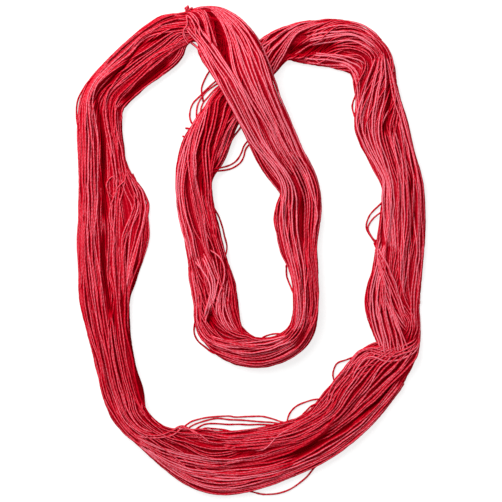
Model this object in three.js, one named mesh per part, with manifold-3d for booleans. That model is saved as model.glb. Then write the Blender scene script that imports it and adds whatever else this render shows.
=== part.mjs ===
// A skein of red cotton sashiko thread, opened out and laid flat on a table in a double ring.
// The wound hank is one closed loop. It runs round a large outer ring, tucks in at the top,
// runs round a smaller inner ring, and comes back over itself to where a tie binds it.
// Millimetres, +Z up. The origin is on the table, at the middle of the skein's outline.
import * as THREE from "three";
import { ParametricGeometry } from "three/addons/geometries/ParametricGeometry.js";
import { mergeVertices } from "three/addons/utils/BufferGeometryUtils.js";
import Module from "manifold-3d";

const wasm = await Module();
wasm.setup();

// Driving dimensions
const THREAD_DIAMETER = 0.7;
const TURNS = 90; // times the thread goes round the loop
const PACKING = 0.65; // share of the hank's section that is thread
const LOCKS = 9; // bunches of turns that stand out as ridges
const RIDGE = 0.09; // height of those ridges, as a share of the section's upper part
const CLEFT_WIDTH = 1.6; // half the breadth of the main cleft
const BED = 0.4; // height of the hank's widest line, as a share of its thickness
const GAP = 0.5; // clearance of the tie above and below the hank
const SIDE_GAP = 0.9; // and at the hank's sides, where the fold's inner corner closes in on the tie
const KNOT_DIAMETER = 1.4;
const KNOT_ANGLE = 0.1 * Math.PI; // place of the tie's knot, up from the hank's right-hand side
// The tie's two cut ends, leaning by an angle in the plan and starting aside of the knot's middle.
const TIE_ENDS = [
  { length: 1.7, lean: 0.45, aside: -0.1 },
  { length: 2.0, lean: 0.95, aside: 0.7 },
];

// Fineness of the surfaces
const STATIONS = 186;
const POINTS_ROUND = 28;
const TIE_STATIONS = 40;
const TIE_SIDES = 8;

// The hank's sections, in the order that the thread runs, one table for each leg of the double ring.
// x and y place the section's middle, width is across the hank, lift is the underside's height
// above the table, and roll is how far the hank has turned about its own length, in degrees.
// The main cleft between bunches of turns lies at cleft, from -1 at the left of the way the thread
// runs to 1 at the right, and its depth is a share of the hank's thickness.
const COLUMNS = ["x", "y", "width", "lift", "roll", "cleft", "depth"];
const LEGS = {
  outerLeft: [
    [-23.0, 80.2, 11.2, 1.35, 0, 0, 0],
    [-28.3, 77.9, 16.0, 0.75, 0, 0, 0],
    [-32.6, 73.9, 18.3, 0.25, 0, 0, 0.1],
    [-43.8, 64.8, 17.3, 0, 0, 0, 0.15],
    [-52.8, 54.8, 16.4, 0, 0, 0, 0.25],
    [-54.4, 46.0, 16.4, 0, 0, -0.18, 0.3],
    [-52.7, 26.5, 18.6, 0, 0, 0, 0.3],
    [-50.2, 17.4, 24.0, 0, 0, 0.24, 0.35],
    [-49.4, 7.0, 26.0, 0, 0, 0.25, 0.4],
    [-51.6, -8.6, 21.4, 0, 0, 0.05, 0.4],
    [-52.6, -17.6, 18.2, 0, 0, -0.28, 0.4],
    [-48.6, -40.7, 13.9, 0, 0, -0.15, 0.35],
    [-45.7, -51.8, 14.8, 0, 0, -0.1, 0.3],
    [-41.8, -60.8, 11.4, 0, 0, 0, 0.1],
  ],
  outerFoot: [
    [-33.1, -68.6, 12.6, 0, 0, 0, 0],
    [-20.2, -74.0, 21.4, 0, 20, 0.35, 0.15],
    [-9.4, -76.2, 23.4, 0, 30, 0.2, 0.3],
    [14.4, -70.9, 19.8, 0, 20, 0.25, 0.45],
    [25.7, -65.3, 18.9, 0, 10, 0.2, 0.45],
    [34.7, -56.7, 20.9, 0, 0, 0.22, 0.4],
    [43.6, -45.6, 20.4, 0, 0, 0.42, 0.35],
    [51.0, -36.0, 18.4, 0, 70, 0.5, 0.2],
  ],
  outerRight: [
    [52.4, -28.6, 17.4, 0, 140, 0.2, 0],
    [50.8, -18.7, 20.2, 0, 110, 0, 0.1],
    [52.4, -8.6, 18.4, 0, 70, 0.2, 0.15],
    [54.5, 12.0, 16.8, 0, 50, 0.5, 0.15],
    [54.4, 23.8, 15.1, 0, 50, 0.5, 0.2],
    [50.8, 33.8, 16.9, 0, 55, 0.5, 0.2],
    [46.8, 45.4, 19.4, 0, 80, 0.35, 0.25],
    [45.2, 56.2, 16.0, 0, 120, 0.5, 0.25],
    [42.0, 68.8, 16.4, 0, 200, 0.4, 0.1],
  ],
  topRight: [
    [31.7, 74.3, 18.0, 0, 150, 0, 0.1],
    [21.1, 74.7, 15.7, 0, 90, -0.3, 0.25],
    [11.2, 74.0, 12.0, 0, 20, -0.2, 0.15],
    [4.0, 68.0, 13.0, 0, -20, 0, 0],
    [-12.0, 50.0, 18.4, 0, -35, 0, 0],
  ],
  innerLeft: [
    [-16.6, 37.0, 17.0, 0, -35, 0, 0.1],
    [-20.5, 25.6, 13.5, 0, -35, -0.2, 0.15],
    [-16.9, 2.9, 13.5, 0, -40, -0.3, 0.2],
    [-12.6, -17.6, 16.0, 0, -75, 0, 0.15],
    [-10.2, -29.5, 14.8, 0, -115, 0, 0],
  ],
  innerFoot: [
    [-0.4, -36.2, 11.9, 0, -175, 0, 0],
    [10.4, -35.1, 10.2, 0, -180, 0, 0],
    [18.0, -28.6, 9.6, 0, -180, 0, 0],
  ],
  innerRight: [
    [19.2, -8.6, 10.2, 0, -180, 0.2, 0.1],
    [16.9, 2.2, 14.0, 0, -180, 0.3, 0.25],
    [16.7, 13.0, 16.6, 0, -180, 0.35, 0.4],
    [17.2, 22.0, 14.2, 0.25, -180, 0.3, 0.35],
    [10.8, 33.5, 16.6, 1.2, -180, 0, 0.15],
    [4.0, 47.9, 17.3, 3.7, -180, -0.1, 0.1],
    [-2.5, 62.3, 19.1, 5.65, -180, -0.15, 0.3],
    [-9.6, 74.8, 21.0, 3.7, -150, 0, 0.55],
    [-16.2, 80.7, 15.0, 1.9, -90, 0, 0.3],
  ],
};
const sections = Object.values(LEGS)
  .flat()
  .map((row) => Object.fromEntries(COLUMNS.map((name, i) => [name, row[i]])));

const BED_ELLIPSE_FILL = 0.839; // area of the bedded ellipse over its width times its thickness
const HANK_AREA = (TURNS * Math.PI * THREAD_DIAMETER ** 2) / 4 / PACKING;

// Closed curves with a point for each section: where it lies, and the shape that it has there.
function closedCurve(...names) {
  const points = sections.map((s) => new THREE.Vector3(...names.map((name) => s[name])));
  return new THREE.CatmullRomCurve3(points, true);
}
const route = closedCurve("x", "y", "lift");
route.arcLengthDivisions = 20 * sections.length;
const girth = closedCurve("width", "roll");
const clefts = closedCurve("cleft", "depth");

// The hank's place, sideways direction and section sizes at a share of the way round.
function hankAt(share) {
  const t = route.getUtoTmapping(share % 1);
  const heading = route.getTangent(t).setZ(0).normalize();
  const { x: width, y: roll } = girth.getPoint(t);
  const { x: cleft, y: depth } = clefts.getPoint(t);
  const middle = route.getPoint(t);
  return {
    middle: middle.clone().setZ(0),
    sideways: new THREE.Vector3(heading.y, -heading.x, 0),
    lift: Math.max(middle.z, 0),
    width,
    thickness: HANK_AREA / (BED_ELLIPSE_FILL * width),
    roll: THREE.MathUtils.degToRad(roll),
    cleft,
    depth: Math.max(depth, 0),
  };
}

// A point of the section's outline at an angle from its right-hand side, counted towards the top.
// The outline is an ellipse bedded flat on its underside and grown by a margin. Its top is ridged by
// the bunches of turns, which go round with the roll, and parted by the main cleft.
function outlinePoint(hank, angle, sideMargin, margin, target) {
  const side = (hank.width / 2 + sideMargin) * Math.cos(angle);
  const ridges = RIDGE * Math.cos(LOCKS * (angle + hank.roll));
  const fromCleft = (side - (hank.cleft * hank.width) / 2) / CLEFT_WIDTH;
  const parting = angle < Math.PI ? hank.depth * Math.exp(-(fromCleft ** 2)) : 0;
  const upright = hank.thickness * (1 - BED) * (1 + ridges) + margin;
  const crown = hank.thickness * BED + upright * Math.sin(angle) - hank.thickness * parting;
  return target
    .copy(hank.middle)
    .addScaledVector(hank.sideways, side)
    .setZ(hank.lift + Math.max(crown, -margin));
}

function makeHank() {
  const surface = (along, round, target) =>
    outlinePoint(hankAt(along), (round % 1) * 2 * Math.PI, 0, 0, target);
  return new ParametricGeometry(surface, STATIONS, POINTS_ROUND);
}

function solidOf(geometry) {
  const bare = geometry.clone();
  bare.deleteAttribute("normal");
  bare.deleteAttribute("uv");
  const merged = mergeVertices(bare);
  return new wasm.Manifold(
    new wasm.Mesh({
      numProp: 3,
      vertProperties: merged.attributes.position.array,
      triVerts: new Uint32Array(merged.index.array),
    }),
  );
}

function geometryOf(solid) {
  const mesh = solid.getMesh();
  const geometry = new THREE.BufferGeometry();
  geometry.setAttribute("position", new THREE.BufferAttribute(mesh.vertProperties, 3));
  geometry.setIndex(new THREE.BufferAttribute(mesh.triVerts, 1));
  return geometry;
}

// The tie is a length of the same thread, taken once round the hank and knotted at its outer side,
// with the two ends cut short.
function makeTie() {
  const hank = hankAt(0);
  const radius = THREAD_DIAMETER / 2;
  const ringPoints = Array.from({ length: TIE_STATIONS }, (_, i) => {
    const angle = (i / TIE_STATIONS) * 2 * Math.PI;
    return outlinePoint(hank, angle, SIDE_GAP + radius, GAP + radius, new THREE.Vector3());
  });
  const ringPath = new THREE.CatmullRomCurve3(ringPoints, true);
  const ring = new THREE.TubeGeometry(ringPath, TIE_STATIONS, radius, TIE_SIDES, true);

  const knotGap = SIDE_GAP + radius;
  const knotPlace = outlinePoint(hank, KNOT_ANGLE, knotGap, knotGap, new THREE.Vector3());
  const knot = new THREE.SphereGeometry(KNOT_DIAMETER / 2, 12, 8).translate(...knotPlace);
  const ends = TIE_ENDS.map(({ length, lean, aside }) => {
    const end = new THREE.CylinderGeometry(radius, radius, length, TIE_SIDES);
    end.translate(0, length / 2, 0).rotateZ(-lean).translate(aside, 0, 0);
    return end.translate(...knotPlace);
  });
  const joined = [ring, knot, ...ends].map(solidOf).reduce((whole, piece) => whole.add(piece));
  return geometryOf(joined);
}

function node(name, geometry) {
  const cotton = { color: 0xc92a41, roughness: 0.85, metalness: 0 };
  const mesh = new THREE.Mesh(geometry, new THREE.MeshStandardMaterial(cotton));
  mesh.name = name;
  return mesh;
}

const skein = new THREE.Group();
skein.add(node("hank", makeHank()), node("tie", makeTie()));

export default skein;
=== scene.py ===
import math

import bpy
import numpy as np
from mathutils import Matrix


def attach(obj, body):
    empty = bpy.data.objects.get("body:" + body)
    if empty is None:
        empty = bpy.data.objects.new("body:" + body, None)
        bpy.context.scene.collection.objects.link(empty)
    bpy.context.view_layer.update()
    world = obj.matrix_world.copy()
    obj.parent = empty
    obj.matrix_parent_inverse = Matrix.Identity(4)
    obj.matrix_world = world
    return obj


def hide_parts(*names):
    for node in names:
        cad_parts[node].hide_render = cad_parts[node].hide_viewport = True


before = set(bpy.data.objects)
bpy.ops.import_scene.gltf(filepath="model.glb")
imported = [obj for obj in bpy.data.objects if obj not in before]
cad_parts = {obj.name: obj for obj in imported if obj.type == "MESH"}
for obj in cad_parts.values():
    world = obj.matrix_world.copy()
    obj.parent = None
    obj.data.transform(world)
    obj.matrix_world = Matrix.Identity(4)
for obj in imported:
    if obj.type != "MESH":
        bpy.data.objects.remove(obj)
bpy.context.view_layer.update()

MM = 0.001

# Camera
# The skein lies on a table and is looked at from straight above, with its tied fold at the top.
VIEW_WIDTH = 180.7 * MM
CAMERA_HEIGHT = 0.9
bpy.ops.object.select_all(action="DESELECT")
bpy.ops.object.camera_add(location=(0, 0, CAMERA_HEIGHT), rotation=(0, 0, 0))
camera = bpy.context.object
camera.name = "camera"
camera.data.sensor_fit = "HORIZONTAL"
camera.data.angle = 2 * math.atan(VIEW_WIDTH / 2 / CAMERA_HEIGHT)
camera.data.dof.use_dof = False
bpy.context.scene.camera = camera

# Hank
# One length of soft twisted cotton thread, wound some ninety times round a reel and slipped off,
# then opened out by hand into a double ring. Nothing holds the turns but the tie and their weight.
THREAD_DIAMETER = 0.7
TURNS = 90
PACKING = 0.65
BED = 0.4
BED_ELLIPSE_FILL = 0.839
CLEFT_WIDTH = 1.6
STATIONS = 370
radius = THREAD_DIAMETER / 2

# The hank's sections in the order that the thread runs, in millimetres: the place of the section's
# middle, its width, the height of its underside, how far it has rolled about its own length in
# degrees, and the main cleft's place across it, from -1 to 1, and depth as a share of the thickness.
# The last column is the place in the winding where the turns part, which is the same for a whole leg.
COLUMNS = ("x", "y", "width", "lift", "roll", "cleft", "depth", "parting")
CURVE_POINTS = 40  # from one section to the next
OUTER_LEFT = (
    (-23.0, 80.2, 11.2, 1.35, 0, 0, 0),
    (-28.3, 77.9, 16.0, 0.75, 0, 0, 0),
    (-32.6, 73.9, 18.3, 0.25, 0, 0, 0.1),
    (-43.8, 64.8, 17.3, 0, 0, 0, 0.15),
    (-52.8, 54.8, 16.4, 0, 0, 0, 0.25),
    (-54.4, 46.0, 16.4, 0, 0, -0.18, 0.3),
    (-52.7, 26.5, 18.6, 0, 0, 0, 0.3),
    (-50.2, 17.4, 24.0, 0, 0, 0.24, 0.35),
    (-49.4, 7.0, 26.0, 0, 0, 0.25, 0.4),
    (-51.6, -8.6, 21.4, 0, 0, 0.05, 0.4),
    (-52.6, -17.6, 18.2, 0, 0, -0.28, 0.4),
    (-48.6, -40.7, 13.9, 0, 0, -0.15, 0.35),
    (-45.7, -51.8, 14.8, 0, 0, -0.1, 0.3),
    (-41.8, -60.8, 11.4, 0, 0, 0, 0.1),
)
OUTER_FOOT = (
    (-33.1, -68.6, 12.6, 0, 0, 0, 0),
    (-20.2, -74.0, 21.4, 0, 20, 0.35, 0.15),
    (-9.4, -76.2, 23.4, 0, 30, 0.2, 0.3),
    (14.4, -70.9, 19.8, 0, 20, 0.25, 0.45),
    (25.7, -65.3, 18.9, 0, 10, 0.2, 0.45),
    (34.7, -56.7, 20.9, 0, 0, 0.22, 0.4),
    (43.6, -45.6, 20.4, 0, 0, 0.42, 0.35),
    (47.7, -41.3, 19.4, 0, 30, 0.46, 0.25),
    (52.4, -35.5, 15.1, 0, 75, 0.5, 0.2),
)
OUTER_RIGHT = (
    (52.4, -28.6, 17.4, 0, 140, 0.2, 0),
    (50.8, -18.7, 20.2, 0, 110, 0, 0.1),
    (52.4, -8.6, 18.4, 0, 70, 0.2, 0.15),
    (54.5, 12.0, 16.8, 0, 50, 0.5, 0.15),
    (54.4, 23.8, 15.1, 0, 50, 0.5, 0.2),
    (50.8, 33.8, 16.9, 0, 55, 0.5, 0.2),
    (46.8, 45.4, 19.4, 0, 80, 0.35, 0.25),
    (45.2, 56.2, 16.0, 0, 120, 0.5, 0.25),
    (42.0, 68.8, 16.4, 0, 200, 0.4, 0.1),
)
TOP_RIGHT = (
    (31.7, 74.3, 18.0, 0, 150, 0, 0.1),
    (21.1, 74.7, 15.7, 0, 90, -0.3, 0.25),
    (11.2, 74.0, 12.0, 0, 20, -0.2, 0.15),
    (4.0, 68.0, 13.0, 0, -20, 0, 0),
    (-10.2, 48.6, 13.4, 0, -35, 0, 0),
)
INNER_LEFT = (
    (-16.6, 37.0, 17.0, 0, -35, 0, 0.1),
    (-20.5, 25.6, 13.5, 0, -35, -0.2, 0.15),
    (-16.9, 2.9, 13.5, 0, -40, -0.3, 0.2),
    (-12.6, -17.6, 16.0, 0, -75, 0, 0.15),
    (-10.2, -29.5, 14.8, 0, -115, 0, 0),
)
INNER_FOOT = (
    (-0.4, -36.2, 11.9, 0, -175, 0, 0),
    (10.4, -35.1, 10.2, 0, -180, 0, 0),
    (18.0, -28.6, 9.6, 0, -180, 0, 0),
)
INNER_RIGHT = (
    (19.2, -8.6, 10.2, 0, -180, 0.2, 0.1),
    (16.9, 2.2, 14.0, 0, -180, 0.3, 0.25),
    (16.7, 13.0, 16.6, 0, -180, 0.35, 0.4),
    (17.2, 22.0, 14.2, 0.25, -180, 0.3, 0.35),
    (10.8, 33.5, 16.6, 1.2, -180, 0, 0.15),
    (4.0, 47.9, 17.3, 3.7, -180, -0.1, 0.1),
    (-2.5, 62.3, 19.1, 5.65, -180, -0.15, 0.3),
    (-9.6, 74.8, 21.0, 3.7, -150, 0, 0.55),
    (-16.2, 80.7, 15.0, 1.9, -90, 0, 0.3),
)
LEGS = (
    (OUTER_LEFT, -0.1),
    (OUTER_FOOT, 0.22),
    (OUTER_RIGHT, 0.4),
    (TOP_RIGHT, -0.2),
    (INNER_LEFT, -0.2),
    (INNER_FOOT, 0.0),
    (INNER_RIGHT, 0.15),
)
rows = np.array([row + (parting,) for leg, parting in LEGS for row in leg], float)


def closed_curve(points, knots, fine):
    """Points along a smooth closed curve through the given ones, for any number of columns."""
    before, after, far = (np.roll(points, n, axis=0) for n in (1, -1, -2))
    gap = knots[:, None]
    gap_before, gap_after = np.roll(gap, 1, axis=0), np.roll(gap, -1, axis=0)
    leave = (points - before) / gap_before - (after - before) / (gap_before + gap) + (after - points) / gap
    arrive = (after - points) / gap - (far - points) / (gap + gap_after) + (far - after) / gap_after
    leave, arrive = leave * gap, arrive * gap
    t = (np.arange(fine) / fine)[None, :, None]
    start, finish = points[:, None], after[:, None]
    leave, arrive = leave[:, None], arrive[:, None]
    curve = (
        start
        + leave * t
        + (3 * (finish - start) - 2 * leave - arrive) * t**2
        + (2 * (start - finish) + leave + arrive) * t**3
    )
    return curve.reshape(-1, points.shape[1])


def evenly(curve, count):
    """The same closed curve at even steps of length, measured on its first two columns."""
    ring = np.vstack([curve, curve[:1]])
    along = np.concatenate([[0], np.cumsum(np.hypot(*np.diff(ring[:, :2], axis=0).T))])
    steps = np.linspace(0, along[-1], count, endpoint=False)
    return np.stack([np.interp(steps, along, column) for column in ring.T], axis=1), along[-1]


route = rows[:, [COLUMNS.index(name) for name in ("x", "y", "lift")]]
spacing = np.linalg.norm(np.roll(route, -1, axis=0) - route, axis=1) ** 0.5
hank, loop_length = evenly(closed_curve(rows, spacing, CURVE_POINTS), STATIONS)
x, y, width, lift, roll, cleft, depth, parting = (hank[:, COLUMNS.index(name)] for name in COLUMNS)
place = np.stack([x, y], axis=1)
lift, depth, roll = np.maximum(lift, 0), np.maximum(depth, 0), np.radians(roll)
heading = np.roll(place, -1, axis=0) - np.roll(place, 1, axis=0)
heading /= np.linalg.norm(heading, axis=1, keepdims=True)
sideways = np.stack([heading[:, 1], -heading[:, 0]], axis=1)
hank_area = TURNS * math.pi * radius**2 / PACKING
thickness = hank_area / (BED_ELLIPSE_FILL * width)

# The thread's place in the hank: it lies along a spiral from the middle to the outside, a step
# further on with each turn, and sways as it was wound, alone and in bunches. A lone sway is how many
# stations it goes one way, and its reach. A bunch's is how often it changes round the loop, how many
# turns go with it, and its reach. Reaches in the spiral are shares of its radius, others millimetres.
SPIRAL_SWAYS = ((50, 0.08), (50, 0.1))
BUNCH_SWAYS = ((12, 8, 3.2), (26, 3.5, 2.0))
SIDE_SWAY = (14, 0.45)
BUNCH_RISE = (20, 4, 1.0)
RISE = (20, 0.3)
STILL = 0.15  # share of the sway left at the hank's edges and at its bottom
CLEFT_PARTS = 0.15  # depth at which a cleft parts the turns
CLEFT_DEEP = 0.4  # depth at which they stand back from it the furthest
CLEFT_GAPE = 1.7  # and how far that is
rng = np.random.default_rng(7)
turn = np.arange(TURNS)[:, None] + (np.arange(STATIONS) / STATIONS)[None, :]


def lone_sway(step, reach):
    """A smooth random sway along the whole thread, with a new direction at each step of stations."""
    count = TURNS * STATIONS
    knots = rng.normal(0, reach, count // step + 4)
    at = np.arange(count) / step
    i = at.astype(int)
    t = at - i
    a, b, c, d = (knots[i + n] for n in range(4))
    return smooth_between(a, b, c, d, t).reshape(TURNS, STATIONS)


def smooth_between(a, b, c, d, t):
    """A smooth way from b to c, at a share of it, with a before them and d after."""
    return b + 0.5 * t * (c - a + t * (2 * a - 5 * b + 4 * c - d + t * (3 * (b - c) + d - a)))


def bunch_sway(steps, turns, reach):
    """A smooth random sway round the loop, which turns that were wound together share."""
    knots = rng.normal(0, reach, (steps, int(TURNS / turns) + 4))
    round_at = np.arange(STATIONS)[None] / STATIONS * steps + 0 * turn
    bunch_at = turn / turns
    i, j = round_at.astype(int), bunch_at.astype(int)
    sway = np.zeros_like(turn)
    for step_on, weight_on in enumerate(spline_weights(round_at - i)):
        for bunch_on, weight_by in enumerate(spline_weights(bunch_at - j)):
            sway += weight_on * weight_by * knots[(i + step_on) % steps, j + bunch_on]
    return sway


def spline_weights(t):
    """Shares of four neighbouring knots in a smooth curve, at t of the way between the middle two."""
    return (1 - t) ** 3 / 6, (3 * t**3 - 6 * t**2 + 4) / 6, (3 * (t + t**2 - t**3) + 1) / 6, t**3 / 6


out = np.sqrt((turn + 0.5) / (TURNS + 1))
pitch = math.sqrt(math.pi / TURNS)
swing = 2 * math.pi * out / pitch
disc_x = out * np.cos(swing) + lone_sway(*SPIRAL_SWAYS[0])
disc_z = out * np.sin(swing) + lone_sway(*SPIRAL_SWAYS[1])
far_out = np.maximum(np.hypot(disc_x, disc_z), 1)
disc_x, disc_z = disc_x / far_out, disc_z / far_out
across = disc_x * np.cos(roll) + disc_z * np.sin(roll)
upright = disc_z * np.cos(roll) - disc_x * np.sin(roll)

# The turns on either side of the parting fill their own side of the cleft.
opened = np.minimum(depth / CLEFT_PARTS, 1)
part_at = parting * (1 - opened) + cleft * opened
left_of = across < parting
spread = np.where(
    left_of,
    (across + 1) / (parting + 1) * (part_at + 1) - 1,
    part_at + (across - parting) / (1 - parting) * (1 - part_at),
)
toward = np.where(left_of, -1, 1) * np.clip(upright + 1.0, 0, 1)
gape = CLEFT_GAPE * np.minimum(depth / CLEFT_DEEP, 1) * toward
sways = sum(bunch_sway(*sway) for sway in BUNCH_SWAYS) + lone_sway(*SIDE_SWAY)
within = (1 - (1 - STILL) * spread**2) * (STILL + (1 - STILL) * np.clip(upright + 0.7, 0, 1))
aim = spread * (width / 2 - radius) + (gape + sways) * within


def fill_width(side):
    """Stretch the turns across the hank, so that the outermost lie along its edges."""
    low, high = side.min(axis=0), side.max(axis=0)
    return (width - 2 * radius) * ((side - low) / (high - low) - 0.5)


aim = fill_width(aim)
height = lift + thickness * (BED + (1 - BED) * upright) + bunch_sway(*BUNCH_RISE) + lone_sway(*RISE)
height = np.maximum(height, lift + radius)


EDGE = 0.995  # how near to its edge, as a share of half the width, the hank's top is reckoned


def crown(side):
    """Height and slope of the hank's top at a place across it: a dome with its cleft."""
    share = np.clip(2 * side / width, -EDGE, EDGE)
    dome = np.sqrt(1 - share**2)
    from_cleft = (side - cleft * width / 2) / CLEFT_WIDTH
    dip = thickness * depth * np.exp(-(from_cleft**2))
    top = lift + thickness * (BED + (1 - BED) * dome) - dip
    slope = -thickness * (1 - BED) * share / dome * 2 / width + dip * 2 * from_cleft / CLEFT_WIDTH
    return top, slope


LAY = 0.98 * THREAD_DIAMETER  # how near to each other two turns come
SLACK = 0.3  # how far a turn may stand out of the hank's top
SETTLE_ROUNDS = 90
PUSH = 0.3  # share of an overlap that goes in each round
DRAW = 0.12  # share of a bend that does
HOLD = 0.07  # share of the way back to where a turn was wound
WEIGHT = 0.01  # millimetres that it sinks


def settle(side, height):
    """Let the turns sink, push them off each other and draw them straight along their length."""
    for _ in range(SETTLE_ROUNDS):
        apart = side[:, None] - side[None]
        above = height[:, None] - height[None]
        distance = np.sqrt(apart**2 + above**2) + 1e-6
        push = np.maximum(LAY - distance, 0) / distance
        side = side + PUSH * (push * apart).sum(axis=1) + HOLD * (aim - side)
        height = height + PUSH * (push * above).sum(axis=1) - WEIGHT
        top, slope = crown(side)
        over = np.maximum(height + radius - top - SLACK, 0)
        height = height - PUSH * over
        side = side + PUSH * over * np.clip(slope, -1, 1)
        for values in (side, height):
            chain = values.reshape(-1)
            chain[1:-1] += DRAW * (chain[:-2] + chain[2:] - 2 * chain[1:-1])
        half = width / 2 - radius
        side = np.clip(side, -half, half)
        height = np.maximum(height, lift + radius)
    return side, height


aim = aim.astype(np.float32)
side, height = settle(aim.copy(), height.astype(np.float32))
side = fill_width(side)

# Valleys where the bunches have drawn apart and the turns between them lie low. Places are counted in
# squares, to the right and down from the top left-hand corner of the view. A row is half the
# valley's breadth, how much painted shade the turns in it get, and the line that it follows.
SQUARE = 0.36  # millimetres
MIDDLE = 251  # squares from the view's corner to the hank's middle, both ways
LINE_POINTS = 12  # of a valley's line, from one given place to the next
VALLEY_DEPTH = 0.65  # share of a turn's height that it loses
VALLEYS = (
    (3.3, 0.85, ((217, 25), (221, 36), (222, 46), (225, 54))),
    (2, 0.5, ((210, 12), (214, 19), (218, 28), (222, 46), (227, 59), (232, 70))),
    (1.6, 0.12, ((160, 38), (140, 46), (125, 66), (110, 82), (97, 96), (99, 112))),
    (2.6, 0.4, ((101, 118), (103, 135), (104, 155), (104, 175), (104, 195), (105, 215))),
    (2.2, 0.5, ((104, 235), (104, 260), (106, 285), (111, 310))),
    (2, 0.5, ((126, 240), (126, 252), (126, 265))),
    (3, 0.35, ((166, 66), (150, 78), (138, 88), (127, 99))),
    (3.5, 0.5, ((140, 263), (135, 281), (131, 300), (130.5, 325), (132.5, 345), (137, 364), (142, 382),
      (148, 399))),
    (3.2, 0.9, ((350, 424), (338, 430.5), (325, 438), (310, 447), (296, 454), (280, 460))),
    (2, 0.7, ((364, 391), (356, 402), (348, 412), (340, 421), (331, 429))),
    (2, 0.8, ((394, 384), (384, 394.5), (375, 402), (365, 410), (355, 418), (347, 424))),
    (1.5, 0.2, ((414, 215), (413, 228), (409, 245))),
    (2.5, 0.1, ((389, 100), (386, 116), (384, 130))),
    (1.6, 0.2, ((408, 145), (412, 160), (413, 175), (411, 190))),
    (1.6, 0.15, ((386, 60), (389, 80), (390, 95))),
    (5, 0.3, ((293, 51), (305, 50), (318, 48), (330, 47))),
    (4, 0.5, ((299, 168), (304, 182), (306, 200), (306, 220), (306, 235), (311, 248))),
    (2, 0.4, ((229, 268), (229, 280), (227, 295))),
    (3, 0.5, ((210, 313), (210, 322))),
)
# Fans, where the topmost turns lie aslant over the others and hide them, on the table and where the
# hank is lifted off it. Rows are as for the valleys: the hidden turns lie lower and get painted shade.
FAN_DEPTH = 0.9  # millimetres that the hidden turns lie lower
FANS = (
    (14, 0.2, ((408, 352), (388, 372), (366, 392), (346, 412))),
    (15, 0.5, ((392, 392), (366, 414), (330, 436), (290, 452), (250, 462))),
    (13, 0.2, ((232, 92), (217, 110), (208, 135), (203, 160), (202, 178))),
    (13, 0.2, ((382, 288), (384, 310), (390, 330), (396, 342))),
    (8, 0.65, ((122, 285), (124, 305), (126.5, 330), (130.5, 352), (136, 373), (143, 394))),
    (4, 0.45, ((228, 262), (233, 280), (236, 300), (239, 320))),
    (9, 0.25, ((296, 34), (284, 46), (277, 60), (272, 74))),
    (12, 0.2, ((298, 178), (303, 192), (304, 212), (304, 230))),
    (9, 0.3, ((133, 190), (137, 204), (134, 222), (130, 240))),
)
RAISED_FANS = (
    (8, 0.35, ((196, 18), (202, 32), (211, 50), (222, 70))),
    (15, 0.35, ((226, 18), (241, 42), (254, 72), (266, 105))),
)


def in_mm(squares):
    return (np.array(squares, float) - MIDDLE) * (SQUARE, -SQUARE)


def in_valley(spots, table):
    """How far down in a valley or fan places are, and how much painted shade they get there, both from 0 to
    1.
    """
    shape, spots = spots.shape[:-1], spots.reshape(-1, 2)
    depth, painted_shade = np.zeros(len(spots)), np.zeros(len(spots))
    for breadth, painted_darkness, line in table:
        line = in_mm(line)
        share = np.linspace(0, len(line) - 1, LINE_POINTS * len(line))
        fine = np.stack([np.interp(share, np.arange(len(line)), column) for column in line.T], axis=1)
        away = np.min([np.hypot(*(spots - point).T) for point in fine], axis=0)
        down = np.exp(-((away / (breadth * SQUARE)) ** 4))
        depth, painted_shade = np.maximum(depth, down), np.maximum(painted_shade, painted_darkness * down)
    return depth.reshape(shape), painted_shade.reshape(shape)


def in_plan(side):
    """Places on the table at distances to the right of the hank's middle line."""
    return np.stack([place[:, axis] + side * sideways[:, axis] for axis in range(2)], axis=2)


low_turns, turns_painted_shade = in_valley(in_plan(side), VALLEYS)
height = height - VALLEY_DEPTH * low_turns * (height - lift - radius)

# How much painted light each turn gets, from 0 where another lies on it, which is painted shade under the
# covering turns, to less than 0 down in a valley, painted darker still. The topmost turns, laid below, get
# more.
TURNS_PAINTED_LIGHT = 0.68
COVER_BREADTH = 0.6 * THREAD_DIAMETER
COVER_REACH = 1.6  # times that breadth, past which a turn isn't covered by another
COVER_RISE = 0.8 * THREAD_DIAMETER
beside = np.clip(COVER_REACH - np.abs(side[:, None] - side[None]) / COVER_BREADTH, 0, 1)
higher = np.clip((height[None] - height[:, None]) / COVER_RISE, 0, 1)
turn_painted_light = TURNS_PAINTED_LIGHT * (1 - (beside * higher).max(axis=1))
turn_painted_light = (turn_painted_light * (1 - low_turns) - turns_painted_shade).reshape(-1)

# The finished thread has two points for each station and the small crimps that the winding left,
# which are lone sways as above.
CRIMPS = ((5, 0.07), (2, 0.03))
BLEND = 5  # points over which the openness is evened out
chain = np.dstack([in_plan(side), height]).reshape(-1, 3)
between = (9 * (chain[1:-2] + chain[2:-1]) - chain[:-3] - chain[3:]) / 16
thread = np.empty((2 * len(between), 3))
thread[0::2], thread[1::2] = chain[1:-2], between
painted_light = np.repeat(turn_painted_light[1:-2], 2)
painted_light = np.convolve(painted_light, np.ones(BLEND) / BLEND, mode="same")
for crimp_step, crimp in CRIMPS:
    for axis in range(2):
        thread[:, axis] += np.resize(lone_sway(crimp_step, crimp), len(thread))


SLUB = 0.08  # share by which the thread is thicker or thinner here and there
SLUB_MOST = 1.5  # times that
TWIST_STARTS = 500  # millimetres over which the lengths' plies start apart


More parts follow.
